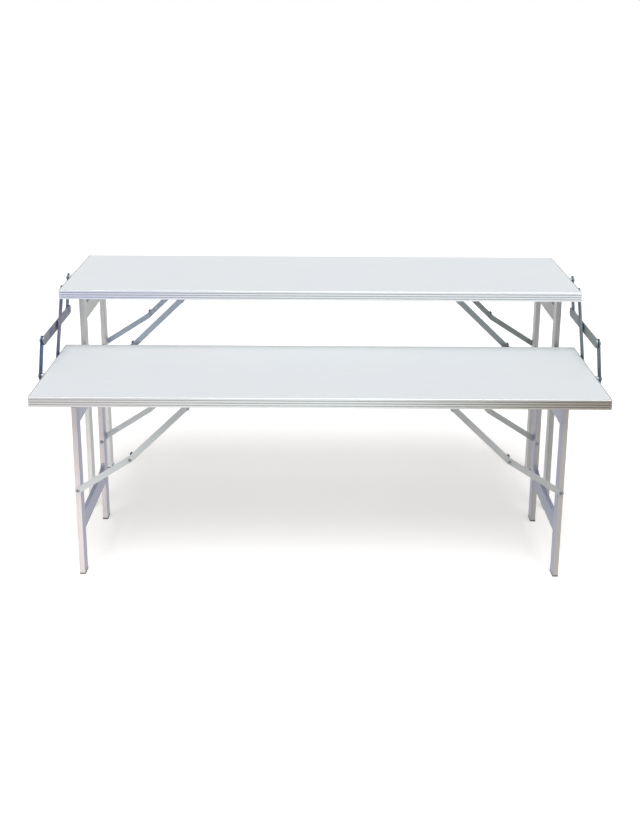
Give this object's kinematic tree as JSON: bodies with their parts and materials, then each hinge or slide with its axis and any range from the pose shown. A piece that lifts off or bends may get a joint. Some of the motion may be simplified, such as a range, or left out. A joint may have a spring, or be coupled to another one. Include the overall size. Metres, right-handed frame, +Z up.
{
  "type": "tiered display table",
  "caption": "Two folding market tables with white tops and ribbed aluminium edges, a low one in front of a taller one, tied at the ends by pivoted flat bars.",
  "frame": {"origin": "on the floor, below the middle of the whole assembly", "axes": "+X along the tables, +Y from the low front table towards the taller rear one, +Z up"},
  "size_m": [2.0574, 1.124, 0.95],
  "materials": {
    "top_laminate": "white laminate on board, satin",
    "rail_aluminium": "anodised extrusion, ribbed",
    "leg_aluminium": "satin anodised tube",
    "stay_steel": "zinc-plated flat bar",
    "bearer_steel": "zinc-plated folded sheet",
    "tie_steel": "zinc-plated flat bar, dull"
  },
  "bodies": {
    "upper_table": {"upper_top_panel": "top_laminate", "upper_front_rail": "rail_aluminium", "upper_back_rail": "rail_aluminium", "upper_left_rail": "rail_aluminium", "upper_right_rail": "rail_aluminium", "upper_left_hinge_bearer": "bearer_steel", "upper_right_hinge_bearer": "bearer_steel", "upper_left_stay_bearer": "bearer_steel", "upper_right_stay_bearer": "bearer_steel"},
    "front_table": {"front_top_panel": "top_laminate", "front_front_rail": "rail_aluminium", "front_back_rail": "rail_aluminium", "front_left_rail": "rail_aluminium", "front_right_rail": "rail_aluminium", "front_left_hinge_bearer": "bearer_steel", "front_right_hinge_bearer": "bearer_steel", "front_left_stay_bearer": "bearer_steel", "front_right_stay_bearer": "bearer_steel"},
    "upper_left_legs": {"upper_left_front_leg": "leg_aluminium", "upper_left_rear_leg": "leg_aluminium", "upper_left_apron": "leg_aluminium", "upper_left_stretcher": "leg_aluminium"},
    "upper_right_legs": {"upper_right_front_leg": "leg_aluminium", "upper_right_rear_leg": "leg_aluminium", "upper_right_apron": "leg_aluminium", "upper_right_stretcher": "leg_aluminium"},
    "front_left_legs": {"front_left_front_leg": "leg_aluminium", "front_left_rear_leg": "leg_aluminium", "front_left_apron": "leg_aluminium", "front_left_stretcher": "leg_aluminium"},
    "front_right_legs": {"front_right_front_leg": "leg_aluminium", "front_right_rear_leg": "leg_aluminium", "front_right_apron": "leg_aluminium", "front_right_stretcher": "leg_aluminium"},
    "upper_left_lower_stays": {"upper_left_front_lower_stay": "stay_steel", "upper_left_rear_lower_stay": "stay_steel"},
    "upper_right_lower_stays": {"upper_right_front_lower_stay": "stay_steel", "upper_right_rear_lower_stay": "stay_steel"},
    "front_left_lower_stays": {"front_left_front_lower_stay": "stay_steel", "front_left_rear_lower_stay": "stay_steel"},
    "front_right_lower_stays": {"front_right_front_lower_stay": "stay_steel", "front_right_rear_lower_stay": "stay_steel"},
    "upper_left_upper_stays": {"upper_left_front_upper_stay": "stay_steel", "upper_left_rear_upper_stay": "stay_steel"},
    "upper_right_upper_stays": {"upper_right_front_upper_stay": "stay_steel", "upper_right_rear_upper_stay": "stay_steel"},
    "front_left_upper_stays": {"front_left_front_upper_stay": "stay_steel", "front_left_rear_upper_stay": "stay_steel"},
    "front_right_upper_stays": {"front_right_front_upper_stay": "stay_steel", "front_right_rear_upper_stay": "stay_steel"},
    "tie_links": {"tie_link_left": "tie_steel", "tie_link_right": "tie_steel"},
    "tie_bars": {"tie_bar_left": "tie_steel", "tie_bar_right": "tie_steel"},
    "rear_straps": {"rear_strap_left": "tie_steel", "rear_strap_right": "tie_steel"},
    "front_straps": {"front_strap_left": "tie_steel", "front_strap_right": "tie_steel"}
  },
  "joints": [
    {"name": "upper_left_fold", "type": "hinge", "parent": "upper_table", "child": "upper_left_legs", "pos_m": [-0.935, 0.262, 0.902], "axis": [0, -1, 0], "range_deg": [0, 90]},
    {"name": "upper_right_fold", "type": "hinge", "parent": "upper_table", "child": "upper_right_legs", "pos_m": [0.935, 0.262, 0.902], "axis": [0, 1, 0], "range_deg": [0, 90]},
    {"name": "front_left_fold", "type": "hinge", "parent": "front_table", "child": "front_left_legs", "pos_m": [-0.86, -0.262, 0.662], "axis": [0, -1, 0], "range_deg": [0, 90]},
    {"name": "front_right_fold", "type": "hinge", "parent": "front_table", "child": "front_right_legs", "pos_m": [0.86, -0.262, 0.662], "axis": [0, 1, 0], "range_deg": [0, 90]},
    {"name": "upper_left_lower_stay_turn", "type": "hinge", "parent": "upper_left_legs", "child": "upper_left_lower_stays", "pos_m": [-0.935, 0.262, 0.572], "axis": [0, -1, 0], "range_deg": [0, 57.4]},
    {"name": "upper_right_lower_stay_turn", "type": "hinge", "parent": "upper_right_legs", "child": "upper_right_lower_stays", "pos_m": [0.935, 0.262, 0.572], "axis": [0, 1, 0], "range_deg": [0, 57.4]},
    {"name": "front_left_lower_stay_turn", "type": "hinge", "parent": "front_left_legs", "child": "front_left_lower_stays", "pos_m": [-0.86, -0.262, 0.332], "axis": [0, -1, 0], "range_deg": [0, 57.4]},
    {"name": "front_right_lower_stay_turn", "type": "hinge", "parent": "front_right_legs", "child": "front_right_lower_stays", "pos_m": [0.86, -0.262, 0.332], "axis": [0, 1, 0], "range_deg": [0, 57.4]},
    {"name": "upper_left_upper_stay_turn", "type": "hinge", "parent": "upper_table", "child": "upper_left_upper_stays", "pos_m": [-0.53, 0.262, 0.902], "axis": [0, -1, 0], "range_deg": [-44.1, 0]},
    {"name": "upper_right_upper_stay_turn", "type": "hinge", "parent": "upper_table", "child": "upper_right_upper_stays", "pos_m": [0.53, 0.262, 0.902], "axis": [0, 1, 0], "range_deg": [-44.1, 0]},
    {"name": "front_left_upper_stay_turn", "type": "hinge", "parent": "front_table", "child": "front_left_upper_stays", "pos_m": [-0.455, -0.262, 0.662], "axis": [0, -1, 0], "range_deg": [-44.1, 0]},
    {"name": "front_right_upper_stay_turn", "type": "hinge", "parent": "front_table", "child": "front_right_upper_stays", "pos_m": [0.455, -0.262, 0.662], "axis": [0, 1, 0], "range_deg": [-44.1, 0]},
    {"name": "tie_swing", "type": "hinge", "parent": "upper_table", "child": "tie_links", "pos_m": [0, 0.049, 0.929], "axis": [-1, 0, 0], "range_deg": [0, 61.2]},
    {"name": "front_table_level", "type": "hinge", "parent": "tie_links", "child": "front_table", "pos_m": [0, -0.083, 0.689], "axis": [-1, 0, 0], "range_deg": [-61.2, 0]},
    {"name": "tie_bar_turn", "type": "hinge", "parent": "tie_links", "child": "tie_bars", "pos_m": [0, -0.017, 0.809], "axis": [-1, 0, 0], "range_deg": [-51, 0]},
    {"name": "rear_strap_turn", "type": "hinge", "parent": "upper_table", "child": "rear_straps", "pos_m": [0, 0.246, 0.929], "axis": [-1, 0, 0], "range_deg": [0, 50.5]},
    {"name": "front_strap_turn", "type": "hinge", "parent": "front_table", "child": "front_straps", "pos_m": [0, -0.28, 0.689], "axis": [-1, 0, 0], "range_deg": [0, 50.5]}
  ],
  "couplings": [
    {"joint": "upper_left_lower_stay_turn", "follows": "upper_left_fold", "ratio": 0.6375},
    {"joint": "upper_right_lower_stay_turn", "follows": "upper_right_fold", "ratio": 0.6375},
    {"joint": "front_left_lower_stay_turn", "follows": "front_left_fold", "ratio": 0.6375},
    {"joint": "front_right_lower_stay_turn", "follows": "front_right_fold", "ratio": 0.6375},
    {"joint": "upper_left_upper_stay_turn", "follows": "upper_left_fold", "ratio": -0.4898},
    {"joint": "upper_right_upper_stay_turn", "follows": "upper_right_fold", "ratio": -0.4898},
    {"joint": "front_left_upper_stay_turn", "follows": "front_left_fold", "ratio": -0.4898},
    {"joint": "front_right_upper_stay_turn", "follows": "front_right_fold", "ratio": -0.4898},
    {"joint": "front_table_level", "follows": "tie_swing", "ratio": -1},
    {"joint": "tie_bar_turn", "follows": "tie_swing", "ratio": -0.8325},
    {"joint": "rear_strap_turn", "follows": "tie_swing", "ratio": 0.8241},
    {"joint": "front_strap_turn", "follows": "tie_swing", "ratio": 0.8241}
  ]
}
